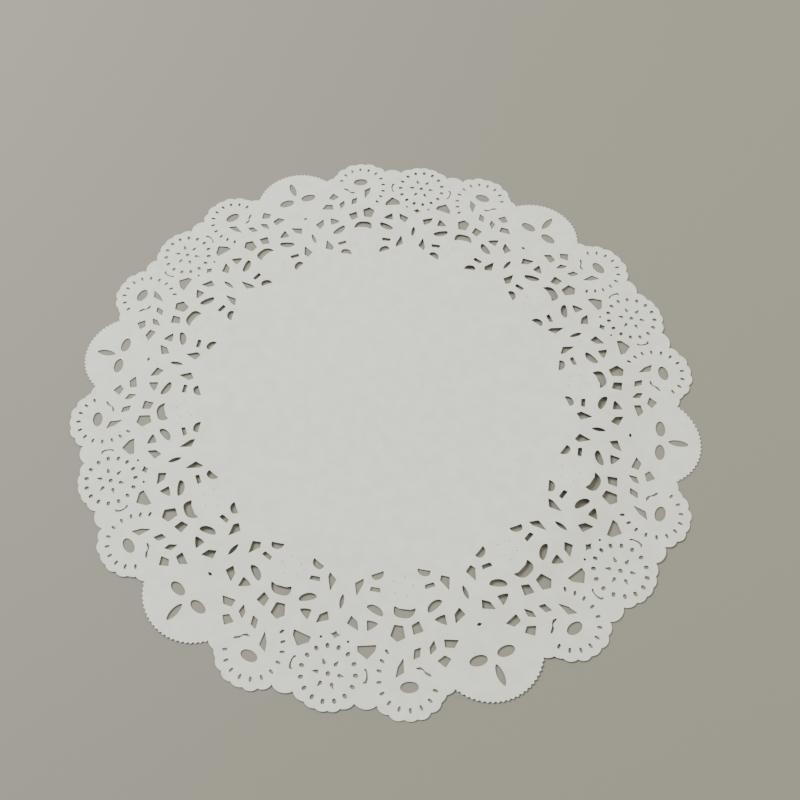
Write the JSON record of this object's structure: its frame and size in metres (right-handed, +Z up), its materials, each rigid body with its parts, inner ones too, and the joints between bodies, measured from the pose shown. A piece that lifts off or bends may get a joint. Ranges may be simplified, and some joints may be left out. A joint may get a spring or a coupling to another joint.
{
  "type": "paper doily",
  "caption": "Round flat paper doily with a plain centre and a pierced lace border that ends in scalloped and finely toothed lobes.",
  "frame": {"origin": "centre of the underside, in the plane that the sheet rests on", "axes": "+Z up through the sheet, +X through the middle of a trefoil lobe, +Y through the middle of a rosette lobe"},
  "size_m": [0.3068, 0.305, 0.001],
  "materials": {
    "paper": "matt white uncoated paper, die cut"
  },
  "bodies": {
    "root": {"lace_sheet": "paper"}
  },
  "joints": []
}
